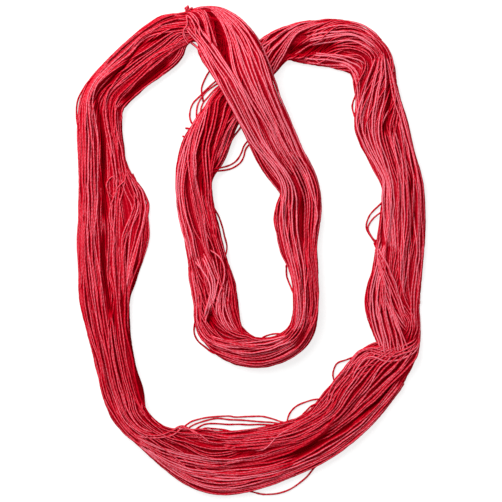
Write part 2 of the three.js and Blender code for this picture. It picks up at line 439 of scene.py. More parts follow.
def thread_mesh(name, node, lengths, sides, thick):
    """Closed round threads, each given as points in millimetres and the painted light and shade along them.
    """
    corners, faces, uvs, painted_light_share = [], [], [], []
    for points, painted_light in lengths:
        ahead = np.gradient(points, axis=0)
        ahead /= np.linalg.norm(ahead, axis=1, keepdims=True)
        beside = np.cross(ahead, (0, 0, 1))
        beside /= np.linalg.norm(beside, axis=1, keepdims=True)
        above = np.cross(beside, ahead)
        angle = 2 * math.pi * np.arange(sides) / sides
        uneven = rng.normal(0, 1, len(points)).clip(-SLUB_MOST, SLUB_MOST)
        slub = thick * (1 + SLUB * uneven)[:, None, None]
        ring = (
            points[:, None]
            + slub * np.cos(angle)[None, :, None] * beside[:, None]
            + slub * np.sin(angle)[None, :, None] * above[:, None]
        )
        count = len(points)
        base = sum(len(c) for c in corners)
        first = np.arange(count - 1)[:, None] * sides
        here = np.arange(sides)[None]
        there = (here + 1) % sides
        walls = np.stack([first + here, first + there, first + sides + there, first + sides + here], axis=2)
        walls = base + walls.reshape(-1, 4)[:, ::-1]
        start = base + np.arange(sides)
        faces += walls.tolist() + [start.tolist(), (start + (count - 1) * sides)[::-1].tolist()]
        along = np.concatenate([[0], np.cumsum(np.linalg.norm(np.diff(points, axis=0), axis=1))])
        along += rng.uniform(0, TWIST_STARTS)
        rounds = np.stack([here + 0 * first, here + 1 + 0 * first] * 2, axis=2)
        rounds[:, :, 2:] = rounds[:, :, 3:1:-1]
        rounds = rounds.reshape(-1, 4)[:, ::-1] / sides
        reach = np.stack([along[:-1], along[:-1], along[1:], along[1:]], axis=1)
        reach = np.repeat(reach, sides, axis=0)[:, ::-1]
        uvs += [np.stack([rounds, reach], axis=2).reshape(-1, 2), np.zeros((2 * sides, 2))]
        corners.append(ring.reshape(-1, 3))
        painted_light_share.append(np.repeat(painted_light, sides))
    cotton_piece(name, node, np.vstack(corners), faces, np.vstack(uvs), np.concatenate(painted_light_share))


def cotton_piece(name, node, corners, faces, uv, painted_light):
    """A smooth piece of red cotton that takes the place of a plain solid of the frame."""
    mesh = bpy.data.meshes.new(name)
    mesh.from_pydata((corners * MM).tolist(), [], faces)
    layer = mesh.uv_layers.new(name="thread")
    layer.data.foreach_set("uv", uv.astype(np.float32).reshape(-1))
    # The painted light and shade along the threads is kept as a point attribute for the material.
    painted_light_share = mesh.attributes.new("painted_light", "FLOAT", "POINT")
    painted_light_share.data.foreach_set("value", painted_light.astype(np.float32))
    mesh.polygons.foreach_set("use_smooth", np.ones(len(mesh.polygons), bool))
    mesh.materials.append(cotton)
    mesh.update()
    piece = bpy.data.objects.new(name, mesh)
    bpy.context.scene.collection.objects.link(piece)
    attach(piece, "root")
    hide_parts(node)


# Soft cotton thread of twisted plies, dyed red: each ply is a round ridge that winds along the thread.
# Lengths are millimetres along the thread, and a tone runs from 0 for the darkest red to 1. The tone
# carries painted light: a pale painted highlight along each thread's top, and painted shade where turns are
# covered or low.
PLIES = 2
PLY_STEP = 1.5  # length over which the next ply comes round
TWIST_SCALE, TWIST_REACH = 0.6, 2.0  # how often and how far the twist is uneven
DYE_SCALE, DYE_REACH = 0.04, 0.3  # how often the dye is uneven, and by what tone
FIBRE_SCALE, FIBRES_IN_PLY, FIBRE_STEP = 2.0, 4.0, 0.9  # fineness of the fibres, across and along
CREST_POWER = 20.0  # how narrow the painted highlight along the top of a thread is
CREST_TONE, PLY_TONE, FIBRE_TONE, FIBRE_MIDDLE = 0.28, 0.42, 0.8, 0.3  # and how pale
FLANK_TONE, DEEP_TONE = 0.28, 0.12  # tone below the crest, and of a thread that isn't open
PLY_RELIEF, FIBRE_RELIEF, RELIEF_HEIGHT = 0.8, 0.2, 0.05 * MM
ROUGHNESS = 0.6
# The dark end of the ramp is painted shade and its pale rose end the painted highlight.
DARKEST_RED = (0.18, 0.0, 0.003)
REDS = (
    (0.16, (0.38, 0.0, 0.006)),
    (0.42, (0.55, 0.004, 0.018)),
    (0.72, (0.75, 0.08, 0.118)),
    (1.0, (0.87, 0.215, 0.275)),
)
cotton = bpy.data.materials.new("red_cotton_thread_painted_light")
cotton.use_nodes = True
nodes, links = cotton.node_tree.nodes, cotton.node_tree.links
shader = nodes["Principled BSDF"]
shader.inputs["Roughness"].default_value = ROUGHNESS
shader.inputs["Specular IOR Level"].default_value = 0.0


def math_node(operation, *values):
    node = nodes.new("ShaderNodeMath")
    node.operation = operation
    for socket, value in zip(node.inputs, values):
        if isinstance(value, (int, float)):
            socket.default_value = value
        else:
            links.new(value, socket)
    return node.outputs[0]


def noise_along(distance, scale, detail):
    """Noise that changes along the thread only."""
    where = nodes.new("ShaderNodeCombineXYZ")
    links.new(distance, where.inputs[0])
    noise = nodes.new("ShaderNodeTexNoise")
    noise.inputs["Scale"].default_value = scale
    noise.inputs["Detail"].default_value = detail
    links.new(where.outputs[0], noise.inputs["Vector"])
    return noise.outputs[0]


uv_map = nodes.new("ShaderNodeUVMap")
uv_map.uv_map = "thread"
split = nodes.new("ShaderNodeSeparateXYZ")
links.new(uv_map.outputs["UV"], split.inputs[0])
around, along = split.outputs[0], split.outputs[1]
sway = math_node("MULTIPLY", noise_along(along, TWIST_SCALE, 1.0), TWIST_REACH)
twist = math_node("MULTIPLY", math_node("ADD", along, sway), 1 / PLY_STEP)
winding = math_node("ADD", math_node("MULTIPLY", around, PLIES), twist)
from_middle = math_node("ABSOLUTE", math_node("SUBTRACT", math_node("FRACT", winding), 0.5))
ply = math_node("SUBTRACT", 1, math_node("POWER", math_node("MULTIPLY", from_middle, 2), 2.0))
dye = math_node("SUBTRACT", noise_along(along, DYE_SCALE, 2.0), 0.5)

fibre_place = nodes.new("ShaderNodeCombineXYZ")
links.new(math_node("MULTIPLY", winding, FIBRES_IN_PLY), fibre_place.inputs[0])
links.new(math_node("MULTIPLY", along, FIBRE_STEP), fibre_place.inputs[1])
fibres = nodes.new("ShaderNodeTexNoise")
fibres.inputs["Scale"].default_value = FIBRE_SCALE
fibres.inputs["Detail"].default_value = 2.0
links.new(fibre_place.outputs[0], fibres.inputs["Vector"])

# Painted light: each thread's top gets a pale painted highlight, broken up by its plies and fibres, and
# threads covered by others or down in valleys get painted shade.
painted_light_share = nodes.new("ShaderNodeAttribute")
painted_light_share.attribute_name = "painted_light"
crest_highlight = math_node("SINE", math_node("MULTIPLY", around, 2 * math.pi))
crest_highlight = math_node("ADD", 0.5, math_node("MULTIPLY", 0.5, crest_highlight))
crest_highlight = math_node("POWER", crest_highlight, CREST_POWER)
speckle = math_node(
    "ADD",
    math_node("ADD", CREST_TONE, math_node("MULTIPLY", ply, PLY_TONE)),
    math_node("MULTIPLY", math_node("SUBTRACT", fibres.outputs[0], FIBRE_MIDDLE), FIBRE_TONE),
)
painted_lit = math_node("MAXIMUM", painted_light_share.outputs["Fac"], 0)
valley_painted_shade = math_node("MINIMUM", painted_light_share.outputs["Fac"], 0)
tone = math_node(
    "ADD",
    math_node("MULTIPLY", painted_lit, math_node("ADD", FLANK_TONE, math_node("MULTIPLY", crest_highlight, speckle))),
    math_node("ADD", DEEP_TONE, math_node("MULTIPLY", dye, DYE_REACH)),
)
tone = math_node("MULTIPLY", tone, math_node("ADD", 1, valley_painted_shade))
ramp = nodes.new("ShaderNodeValToRGB")
ramp.color_ramp.elements.remove(ramp.color_ramp.elements[1])
ramp.color_ramp.elements[0].color = DARKEST_RED + (1,)
for at_tone, red in REDS:
    ramp.color_ramp.elements.new(at_tone).color = red + (1,)
links.new(tone, ramp.inputs[0])
links.new(ramp.outputs[0], shader.inputs["Base Color"])

fuzz = math_node("MULTIPLY", fibres.outputs[0], FIBRE_RELIEF)
relief = math_node("ADD", math_node("MULTIPLY", ply, PLY_RELIEF), fuzz)
bump = nodes.new("ShaderNodeBump")
bump.inputs["Strength"].default_value = 1.0
bump.inputs["Distance"].default_value = RELIEF_HEIGHT
links.new(relief, bump.inputs["Height"])
links.new(bump.outputs[0], shader.inputs["Normal"])

# The thread is cut into lengths of fifteen turns, one mesh each, that follow on from each other. It
# lies lower where a fan hides it, and gets painted shade there.
LENGTHS = 6
SIDES = 5
DRAWN_RADIUS = 0.34
RAISED = 0.6  # height of the underside from which the hank counts as lifted off the table
raised = np.repeat(np.tile(lift > RAISED, TURNS)[1:-2], 2)
hidden, fan_painted_shade = np.where(raised, in_valley(thread[:, :2], RAISED_FANS), in_valley(thread[:, :2], FANS))
drawn = thread.copy()
drawn[:, 2] = np.maximum(thread[:, 2] - FAN_DEPTH * hidden, radius)
painted_light = painted_light * (1 - hidden) - fan_painted_shade
for number, stretch in enumerate(np.array_split(np.arange(len(thread)), LENGTHS), 1):
    part = slice(stretch[0], stretch[-1] + 2)
    thread_mesh(f"hank_turns_{number}", "hank", [(drawn[part], painted_light[part])], SIDES, DRAWN_RADIUS)

# The turns deep in the hank are one sheet, ridged like them and seen only in the gaps between the others,
# coloured with painted shade, darker still in the valleys.
DEEP_RIDGES = 26
RIDGE_POINTS = 4
RIDGE_HEIGHT = 0.3
DEEP_INSET = 0.6  # from the hank's edges
DEEP_SHARE = 0.58  # of the hank's height
# The deep sheet's painted light is low, so that it shows as painted shade in the gaps.
DEEP_PAINTED_LIGHT = 0.35
DEEP_CLEAR = 0.1  # least height of the sheet's top above the hank's underside
DRIFT = 0.07  # how far the ridges drift from side to side, as a share of half the width
DRIFT_LANES, DRIFT_STEPS = 9, 24  # and how many places across and round have their own drift
RIDGE_START = 37  # millimetres of twist from one ridge to the next
LANES = DEEP_RIDGES * RIDGE_POINTS + 1
step = loop_length / STATIONS
share = np.linspace(-1, 1, LANES)[:, None]
drifts = rng.normal(0, DRIFT, (DRIFT_LANES, DRIFT_STEPS))
round_at = np.arange(STATIONS) / STATIONS * DRIFT_STEPS
drifts = [np.interp(round_at, np.arange(DRIFT_STEPS), row, period=DRIFT_STEPS) for row in drifts]
drift_at = np.linspace(-1, 1, DRIFT_LANES)
drift = np.stack([np.interp(share[:, 0], drift_at, column) for column in np.array(drifts).T], axis=1)
lanes = (share + drift * (1 - share**2)) * (width / 2 - DEEP_INSET)
spots = in_plan(lanes)
low_lanes, lanes_painted_shade = in_valley(spots, VALLEYS)
in_ridge = np.arange(LANES) % RIDGE_POINTS / RIDGE_POINTS
furrow = RIDGE_HEIGHT * (1 - np.sqrt(1 - (2 * in_ridge - 1) ** 2))[:, None]
rise = DEEP_SHARE * (1 - VALLEY_DEPTH * low_lanes) * (crown(lanes)[0] - lift)
deep_top = np.maximum(lift + DEEP_CLEAR + rise - furrow, lift + DEEP_CLEAR)
deep_bed = np.dstack([spots, deep_top])
underside = np.dstack([spots[[-1, 0]], np.broadcast_to(lift + DEEP_CLEAR / 2, (2, STATIONS))])
corners = np.concatenate([deep_bed, underside])
lane, at = np.meshgrid(np.arange(LANES + 2), np.arange(STATIONS), indexing="ij")
next_lane, next_at = (lane + 1) % (LANES + 2), (at + 1) % STATIONS
sides = (lane, at), (lane, next_at), (next_lane, next_at), (next_lane, at)
quads = np.stack([row * STATIONS + column for row, column in sides], axis=2).reshape(-1, 4)
left_u = np.where(lane < LANES, lane % RIDGE_POINTS / RIDGE_POINTS / 2, 0)
right_u = left_u + 0.5 / RIDGE_POINTS
near_v = at * step + RIDGE_START * (lane // RIDGE_POINTS)
far_v = near_v + step
deep_uv = np.stack([left_u, near_v, left_u, far_v, right_u, far_v, right_u, near_v], axis=2)
deep_uv = deep_uv.reshape(-1, 2)
deep_sheet_painted_light = DEEP_PAINTED_LIGHT * (1 - low_lanes) - lanes_painted_shade
deep_sheet_painted_light = np.concatenate([deep_sheet_painted_light, np.zeros((2, STATIONS))]).reshape(-1)
cotton_piece("hank_deep_turns", "hank", corners.reshape(-1, 3), quads.tolist(), deep_uv, deep_sheet_painted_light)

# The topmost turns, in the order that they lie over the others. A row is how many turns lie side by
# side, how much painted light they get, as one number or as several at even steps along, and the
# lines that they lie between, in the same squares. A single turn follows its own line. More painted
# light gives a paler painted highlight, and less is painted shade.
LOWER_TURNS = (
    # Top right band, from the twist to the corner
    (1, 1.05, ((345, 20), (360, 23.5), (372, 31), (381, 40)),
     ((340, 22), (352, 24.5), (362, 28.5), (372, 35), (381, 43))),
    (5, (1.3, 1.5), ((303, 34), (318, 30), (332, 27), (346, 26), (358, 28), (369, 33), (378, 41),
      (383, 47)),
     ((300, 50), (318, 47), (334, 45), (348, 43), (358, 46), (366, 51), (372, 56), (375, 60))),
    (4, (1.2, 1.4), ((308, 51), (322, 51), (336, 52), (350, 54), (360, 58), (367, 64), (370, 71)),
     ((296, 60), (308, 64), (322, 66), (336, 67), (346, 70), (353, 77), (356, 88))),
    (1, 0.8, ((306, 52), (311, 57), (316, 61), (321, 65), (330, 66))),
    (1, 1.1, ((290, 57.5), (300, 52), (310, 45.5), (320, 41), (330, 36), (340, 33), (352, 32), (361, 35),
      (370, 40), (379, 46))),
    (3, 1.0, ((332, 61), (345, 63), (354, 68), (359, 77), (361, 90), (360, 108), (361, 125)),
     ((332, 65), (343, 67), (350, 72), (354, 82), (356, 93), (355, 108), (357, 127))),
    (13, 1.0, ((318, 21.5), (300, 23), (285, 28.5), (272, 34), (262, 39.5), (250, 47)),
     ((332, 22), (314, 26.5), (301, 32), (293, 40), (288, 49), (284, 58), (279, 67), (274, 78), (266, 93))),
    # Right leg, from the corner down to the crease
    (6, (0.95, 1.0, 0.95, 0.75), ((384.5, 52), (387.5, 70), (390.5, 87), (394, 103), (399, 120), (404, 140),
      (408, 160), (411, 180), (412, 200), (413, 225), (415, 250), (413, 270), (411, 290), (410, 305),
      (411, 322), (413, 336)),
     ((383.5, 47), (388, 60), (393, 76), (398, 92), (403.5, 108), (408.5, 125), (411.8, 138), (415.2, 152),
      (418.6, 166), (421.8, 182), (424, 203), (424.3, 228), (423.4, 250), (421.4, 270), (419.2, 290),
      (418.2, 312), (419.5, 337))),
    (5, 1.05, ((386, 130), (389, 147), (393, 163), (396, 180), (397, 200), (396, 225), (397, 250),
      (398, 270), (399, 285)),
     ((400, 112), (404, 130), (406, 150), (408, 170), (409, 190), (411, 212), (411, 235), (409, 256),
      (407, 274), (404, 290), (404, 306))),
    (8, (1.1, 1.45, 1.4, 1.1), ((378, 52), (371, 65), (364, 80), (359, 97), (355, 113), (356.5, 129),
      (361, 142), (369, 156), (377, 168), (382, 180), (382, 192), (382, 210), (384, 230), (386, 250)),
     ((383, 50), (386, 65), (387, 80), (385, 97), (381, 115), (379, 133), (383, 150), (388, 165),
      (392, 181), (394, 200), (394, 222), (396, 245), (398, 262))),
    (1, 1.1, ((387, 132), (392, 148), (397, 163), (400, 175), (402, 195), (400, 225))),
    (1, 1.0, ((391, 106), (386, 115), (382, 123), (380, 133))),
    (4, 1.3, ((382, 228), (377, 248), (376, 262), (371, 278), (366, 292), (365, 304), (368, 320),
      (375, 340), (380, 353), (384, 364)),
     ((388, 242), (383, 262), (381, 274), (379, 286), (379, 298), (382, 312), (385, 326), (389, 341),
      (391, 354), (394, 366))),
    (6, 1.15, ((380, 270), (377, 284), (374.5, 297), (374, 310), (376.5, 323), (380, 336), (381.5, 350),
      (385, 364)),
     ((388, 274), (391, 289), (393, 303), (395, 315), (398, 327), (401.5, 338), (404, 350), (408, 362))),
    (4, 0.9, ((377, 284), (380, 299), (384, 314), (388, 329), (392, 343), (395, 355), (398, 366)),
     ((385, 283), (389, 297), (394, 311), (399, 324), (404, 336), (408, 347), (411, 357))),
    (8, 1.05, ((376, 252), (378, 267), (382, 282), (386, 293), (390, 305), (395, 316), (401, 326),
      (408, 334)),
     ((373, 235), (379, 248), (387, 262), (394, 277), (399, 292), (403, 308), (409, 324))),
    # Outer foot, from the crease at the lower right round to the left leg
    (8, (0.8, 0.85, 0.9, 1.25, 1.25), ((400, 374), (391, 387), (380, 400), (370, 410), (359, 420),
      (348, 428.5), (337, 435.5), (324, 443), (310, 451), (296, 458), (280, 464), (262, 468.5),
      (245, 471.5), (228, 472.5), (210, 471.5), (195, 469), (178, 464), (160, 456), (142, 443)),
     ((406, 380), (400, 391), (392, 402), (383, 413.5), (373, 425), (360, 437), (345, 449), (329, 459),
      (308, 469), (288, 477), (268, 484), (248, 489), (225, 492), (204, 490), (186, 482), (166, 467),
      (147, 451), (130, 437))),
    (6, 0.8, ((416, 338), (409, 348), (401, 357), (392, 367), (383, 376), (373, 386), (364, 395.5),
      (356, 404), (348, 412), (340, 419), (331, 425), (322, 430)),
     ((420, 330), (419.5, 345), (418, 356), (411, 367), (402, 376), (391, 386), (381, 396), (371, 405),
      (361, 414), (351, 421.5), (341, 428), (330, 435), (318, 441))),
    (4, (0.4, 0.5, 0.9, 1.3, 0.9), ((340, 400), (336, 413), (328, 424), (318, 433), (305, 440), (290, 444),
      (275, 448), (262, 453), (248, 456), (230, 458), (210, 457), (190, 452), (170, 447), (150, 441),
      (130, 432)),
     ((338, 414), (332, 425), (322, 434), (310, 442), (296, 449), (282, 455), (268, 460), (252, 464),
      (230, 466), (210, 466), (188, 462), (168, 458), (148, 447), (130, 434))),
    (4, (0.5, 0.9, 1.15), ((300, 452), (285, 457), (265, 462), (240, 465), (215, 466), (190, 463),
      (170, 457), (150, 446)),
     ((300, 463), (285, 468), (264, 473.5), (240, 477), (215, 478), (190, 474), (170, 465), (150, 452))),
    (13, (0.75, 0.85, 0.7, 0.7, 0.7), ((386, 342), (377, 346), (366, 347), (357, 351.5), (350, 358.5),
      (344, 366), (339, 374), (333, 382), (328.5, 391), (326, 400), (320, 407), (309, 414), (297, 420),
      (283, 427), (265, 431), (245, 433), (225, 434), (205, 432)),
     ((411, 342), (402, 352), (394, 361), (385, 370), (378, 378.5), (371, 387), (363, 396), (355, 405),
      (347, 414), (339, 421.5), (329, 428), (316, 436), (300, 442), (285, 445.5), (270, 448), (255, 450),
      (238, 450.5), (220, 448))),
    (1, 0.95, ((404, 350), (398, 361), (391, 370), (383, 377), (374, 385), (366, 394), (358, 402),
      (350, 411))),
    (1, 1.0, ((396, 348), (389, 358), (380, 366.5), (375, 375), (370, 384), (363, 393), (355, 402))),
    (1, 1.0, ((412, 352), (405, 364), (396, 372), (388, 380), (379, 389), (369, 398), (360, 407))),
    (2, 1.0, ((345, 383), (350, 372), (356, 361), (362, 354), (368, 351), (375, 353), (384, 356),
      (394, 355.5), (403, 352.5), (411, 349.5), (417, 344), (419, 334)),
     ((352, 384), (356, 373), (361, 364), (367, 358), (374, 357.5), (384, 361), (395, 360.5), (405, 357),
      (413, 353.5), (418, 347), (419.5, 337))),
    (2, 1.05, ((336, 380), (341, 371), (347, 362.5), (354, 354), (362, 348.5), (370, 346.3), (377, 348.5),
      (385, 350), (393, 348.5), (401, 345), (408, 341), (414, 336), (418, 328)),
     ((345, 381), (350, 370), (356, 360), (362, 353), (368, 350.5), (375, 352.5), (384, 355), (394, 354),
      (403, 350.5), (411, 346.5), (417, 341), (419, 332))),
    (1, 0.95, ((292, 429), (284, 431), (278, 435), (273, 440), (268, 446), (262, 450), (250, 452)),
     ((300, 427), (289, 428), (282, 431), (276, 436), (271, 442), (265, 447), (254, 450))),
    (2, 1.05, ((133, 422), (147, 431), (162, 433), (173, 429), (181, 425), (186, 431), (189, 438),
      (193, 447)),
     ((128, 423), (142, 433), (160, 435), (173, 431), (182, 426), (191, 430), (200, 437), (209, 447)),
     ((125, 425), (140, 435), (158, 437), (173, 434), (184, 427.5), (197, 432), (211, 440), (226, 450))),
    # Inner ring's left leg, from where it comes out below the crossing
    (6, (0.55, 0.75, 0.45), ((229, 82), (219, 91), (211, 101), (209, 114), (206, 127), (203, 140),
      (201.5, 152), (202.5, 163), (204, 177), (206, 190), (206, 204), (209, 218), (211.5, 232),
      (212.5, 248)),
     ((239, 84), (229, 91), (221, 100), (220, 112), (218, 124), (215, 138), (212, 152), (211, 163),
      (211, 177), (211, 190), (212, 204), (215, 218), (217, 232), (218, 248))),
    (4, (0.75, 1.35, 1.45, 1.3), ((213, 96), (205, 106), (197, 115), (190.5, 127), (186, 140), (181, 155),
      (177, 170), (175.5, 187), (176, 204), (178.5, 220), (183, 236), (187, 253), (189, 268)),
     ((218, 97), (209, 107), (201, 117), (195, 129), (190, 141), (187, 153), (185, 168), (183.5, 185),
      (184.5, 202), (188, 219), (193, 235), (197, 252), (200, 268))),
    (5, (0.75, 1.0, 0.8, 0.9), ((221, 85), (213, 95), (206, 106), (200, 117), (194, 129), (190, 140),
      (188, 153), (188, 168), (189.5, 183), (192, 198), (196, 213), (199.5, 228), (203, 243), (207, 256),
      (213, 268), (218, 280)),
     ((228, 79), (218, 90), (210, 101), (207, 114), (204, 127), (200, 140), (197, 152), (196.5, 165),
      (197, 178), (199.5, 191), (202.5, 204), (205, 217), (206, 230), (208, 246), (213, 257))),
    (3, 0.9, ((238, 106), (229, 118), (225, 128), (222, 140), (218, 152), (214, 165)),
     ((251, 118), (244, 128), (237.5, 135.5), (231.5, 145), (226, 155), (220.5, 168))),
    (4, 0.65, ((233, 91), (225, 103), (220.5, 117), (216.5, 131), (213, 145), (210, 158), (209, 170),
      (208, 180)),
     ((242, 99), (234, 110), (228.5, 122), (224, 135), (219.5, 148), (215.5, 160), (213, 171), (212, 181))),
    (1, 0.9, ((199, 199), (203, 196.5), (206, 194.5))),
    (4, 0.6, ((224, 262), (227.5, 275), (230, 288), (231, 300), (232, 312), (236, 325), (241, 337)),
     ((225, 256), (231, 270), (235.7, 283), (237.6, 295), (238.7, 307), (241, 320), (244.5, 335))),
    (5, 0.95, ((221, 286), (218, 297), (217, 308), (219, 319), (224, 328), (232, 335)),
     ((231, 270), (231, 283), (230, 296), (229, 307), (232, 318), (238, 328), (244, 336))),
    (6, 1.3, ((190, 250), (194, 262), (200, 272), (206, 281), (209, 291), (207, 302), (204, 312),
      (203, 322)),
     ((207, 250), (212, 258), (216, 267), (219, 277), (217, 288), (214, 299), (212, 308), (210, 318))),
    (1, 1.1, ((206, 247.5), (213, 252), (219, 256.5), (223, 263), (224.5, 272), (223.5, 281), (220.5, 290),
      (218, 298), (216.5, 306), (217, 314), (219, 323))),
    (1, 1.0, ((211, 306), (208.5, 312), (206.5, 318), (206, 323), (208, 326.5), (211, 328))),
    # Inner foot
    (8, (0.9, 0.8, 1.5), ((203, 331), (214, 335), (228, 338), (244, 339), (258, 338.5), (270, 337),
      (281, 335), (290, 332)),
     ((212, 352), (225, 358), (240, 364), (256, 367), (270, 365), (284, 359), (296, 351), (304, 344))),
    (4, (1.1, 0.9, 1.0), ((188, 262), (189, 278), (192, 292), (194, 307), (194.5, 322), (198, 334),
      (206, 343), (218, 349), (235, 352), (250, 351)),
     ((197, 265), (198, 280), (201, 294), (202, 308), (202, 320), (206, 331), (216, 337), (230, 340),
      (245, 341))),
)
UPPER_TURNS = (
    # Left leg, from the tie down to the foot
    (6, (0.65, 0.7, 0.85, 0.85, 0.7), ((199, 34), (191, 38), (168, 47), (150, 56), (133, 69), (118, 79),
      (106, 92), (102, 108), (104, 125), (108, 145), (111, 160), (113, 175), (113, 190), (111, 205),
      (110, 220), (110, 250), (109, 268), (113, 285), (115, 305)),
     ((199, 38), (192, 42.5), (176, 52), (160, 63), (146, 75), (135, 87), (124, 99), (118, 112), (119, 130),
      (124, 148), (127, 162), (129, 175), (126, 190), (122, 205), (122, 220), (121, 248), (122, 268),
      (121, 285), (122, 305))),
    (4, 0.7, ((121, 158), (127, 171), (134, 181), (141, 190), (146.5, 201), (146.5, 208), (142, 215),
      (138, 226), (134, 240), (131, 255), (128.5, 270), (127.5, 285), (127, 305), (128, 332)),
     ((125, 158), (129.5, 170), (135.5, 180), (142.5, 189), (148.5, 203), (149.5, 214), (148.5, 230),
      (145.5, 246), (140.5, 262), (135, 278), (131, 292), (129.5, 308), (130, 335))),
    (5, 0.75, ((116, 163), (119, 179), (123, 194), (127, 203), (128.5, 209), (127, 216), (124, 224),
      (121, 232), (120.5, 245), (121.5, 258), (122.5, 270), (121.5, 285), (121, 302)),
     ((121, 160), (128, 175), (136, 189), (142, 200), (143, 209), (138, 218), (133, 228), (128, 238),
      (125, 250), (124, 264), (124.5, 280), (124, 300))),
    (5, 0.95, ((128, 173), (131, 184), (134.5, 195), (134, 206), (130, 216), (126, 228), (124, 242),
      (124, 258), (126, 275), (126, 292)),
     ((130, 170), (137.5, 182), (144.5, 193), (148, 205), (146.5, 218), (142, 232), (137, 247), (132, 262),
      (129, 278), (128, 294))),
    (1, 1.1, ((122, 183), (117, 176), (110, 179), (106.5, 185), (109, 192), (113, 198), (115, 204))),
    (1, 1.0, ((131, 176), (123, 182), (118, 189), (114, 198), (111, 208), (110, 220), (114, 233),
      (118, 255))),
    (4, (0.8, 0.8, 0.65, 0.55), ((112, 258), (114, 275), (115.5, 292), (117, 312), (120, 338), (125, 365),
      (131, 390), (140, 408), (151, 422)),
     ((121, 259), (121.5, 276), (122.5, 296), (123.5, 320), (127, 348), (132, 374), (138, 396), (146, 411),
      (155, 422))),
    (3, (0.75, 0.7, 0.55, 0.4, 0.35), ((122, 260), (122.5, 276), (123.5, 296), (125, 320), (128.5, 348),
      (133.5, 374), (139, 396), (147, 411), (156, 422)),
     ((128.5, 262), (128, 280), (128.5, 305), (129, 332), (133.5, 358), (138.5, 382), (145, 404),
      (156, 424))),
    (8, (0.6, 0.95, 0.9, 0.65, 0.85), ((200, 10), (189, 12), (165, 16), (143, 29.5), (121, 47.5),
      (101, 68), (85.5, 90), (79.5, 108), (78.8, 125), (78.8, 150), (78.2, 175), (77.8, 200), (78, 225),
      (77.6, 250), (79.3, 280), (83.5, 310), (89.5, 340), (97, 370), (102.5, 393), (110, 413), (122, 431.5),
      (138, 443), (155, 449)),
     ((200, 31), (188, 32), (160, 35), (144, 41), (130, 57), (113, 71), (99, 84), (93, 100), (96, 118),
      (99, 138), (99, 160), (99, 182), (100, 203), (98, 224), (98, 245), (103, 272), (106, 300), (111, 330),
      (116, 360), (122, 390), (130, 410), (142, 425), (158, 431))),
    # Fold: from the tie and round the hank's top edge, over the crossing and down the inner right leg
    (5, 1.0, ((186, 14), (193, 12), (198, 14), (201, 18), (203.5, 24), (205, 30), (207.5, 38), (210, 46),
      (213, 54)),
     ((193, 11), (202, 9.5), (207.5, 12), (210.5, 18), (212.5, 24), (214, 31), (216, 39), (218, 46),
      (221, 54))),
    (3, 1.0, ((178, 17), (187, 17), (190, 22), (193, 31), (197, 41), (201, 50), (206, 60), (212, 71)),
     ((180, 14), (190, 12.5), (197, 17), (199, 24), (199.5, 33), (202, 44), (207, 54), (213, 65),
      (219, 76))),
    (3, 0.95, ((184, 14), (191, 12.5), (196.5, 15), (199.5, 19), (202, 25), (203.5, 31), (206, 39),
      (208.5, 47), (212, 55)),
     ((191.5, 11.5), (200.5, 10), (206, 12.5), (209, 18.5), (211, 24.5), (212.5, 31.5), (214.5, 39.5),
      (216.5, 46.5), (219.5, 54.5))),
    (8, (0.75, 1.1, 1.1), ((202, 10), (211, 11.5), (218, 20), (223.5, 31), (226.5, 42), (228, 52),
      (229, 62), (231.5, 72), (235.5, 82), (245.5, 100), (259, 121), (272, 145), (281.7, 163)),
     ((207, 8.5), (221, 9.8), (234.5, 18.3), (247.5, 32.3), (257, 45), (265, 58.7), (273.7, 83),
      (281.7, 107), (289.7, 128), (299.7, 151), (307, 164))),
    (8, (0.7, 1.2, 1.05, 0.55, 0.65), ((192, 12), (203, 9), (209, 9.5), (214, 13), (219, 20), (224.5, 30),
      (228, 41), (229.5, 52), (231, 61), (233.5, 71), (237.5, 81), (247.5, 99), (261, 120), (274, 144),
      (286, 160), (294, 173), (300, 187), (302.5, 200), (303, 214), (303, 229), (304, 245), (306, 260),
      (308, 276), (309, 293), (309, 308), (306, 322), (299, 337)),
     ((191, 11), (201, 8.3), (211, 8.2), (218, 11.5), (224.5, 17), (232, 25), (239, 34), (244.5, 44),
      (249, 56), (257, 80), (267.5, 105), (279, 128), (288, 146), (296, 160), (304, 174), (309, 188),
      (311.5, 201), (311.5, 214), (310.5, 228), (310.5, 242), (310, 256), (313, 270), (315, 283),
      (316.5, 296), (316, 310), (311, 325), (302, 341)),
     ((190, 12), (199, 9.3), (212, 7.8), (222, 8.8), (232, 13), (241, 19), (250, 28.5), (257, 37),
      (266, 52), (275, 77), (283, 103), (291, 124), (301, 148), (309, 161), (315, 175), (319, 190),
      (320.5, 205), (320, 220), (318, 234), (317, 247), (317, 262), (318, 280), (318, 296), (317, 310),
      (312, 325), (303, 341))),
    (1, 1.1, ((286, 148), (296, 160), (303, 171), (309, 184), (313.5, 197), (316.5, 210), (316, 222),
      (313, 236), (312, 248))),
    (8, (0.85, 1.4, 1.5, 1.0, 0.95), ((189, 20), (187, 25), (184.5, 30), (184, 36), (187.5, 41),
      (193.5, 46), (198.5, 52), (203, 61), (208, 71), (213.5, 81), (220, 92), (226, 103), (239, 127),
      (251, 147), (263, 160), (272, 170), (279, 182), (281, 193), (279, 206), (277.5, 220), (280, 234),
      (283.5, 248), (288, 263), (292, 278), (295, 293), (296, 305), (296, 316), (294, 326), (289, 333),
      (283, 337)),
     ((180, 14), (189, 12.5), (193.5, 14.5), (198, 21), (201, 28), (204, 33.5), (207.5, 38), (211, 42),
      (215, 48), (220, 56), (224, 62), (229, 69), (235, 79), (243, 94), (255, 120), (266, 142), (279, 160),
      (288, 172), (295, 184), (298, 197), (298, 212), (298, 228), (300, 245), (303, 262), (305, 280),
      (306, 296), (305, 310), (302, 323), (296, 336))),
    (1, 1.15, ((201, 30), (205, 35), (209, 40), (215, 48), (220, 56), (224, 62), (229, 69), (235, 79),
      (243, 93), (252, 111), (261, 131))),
)
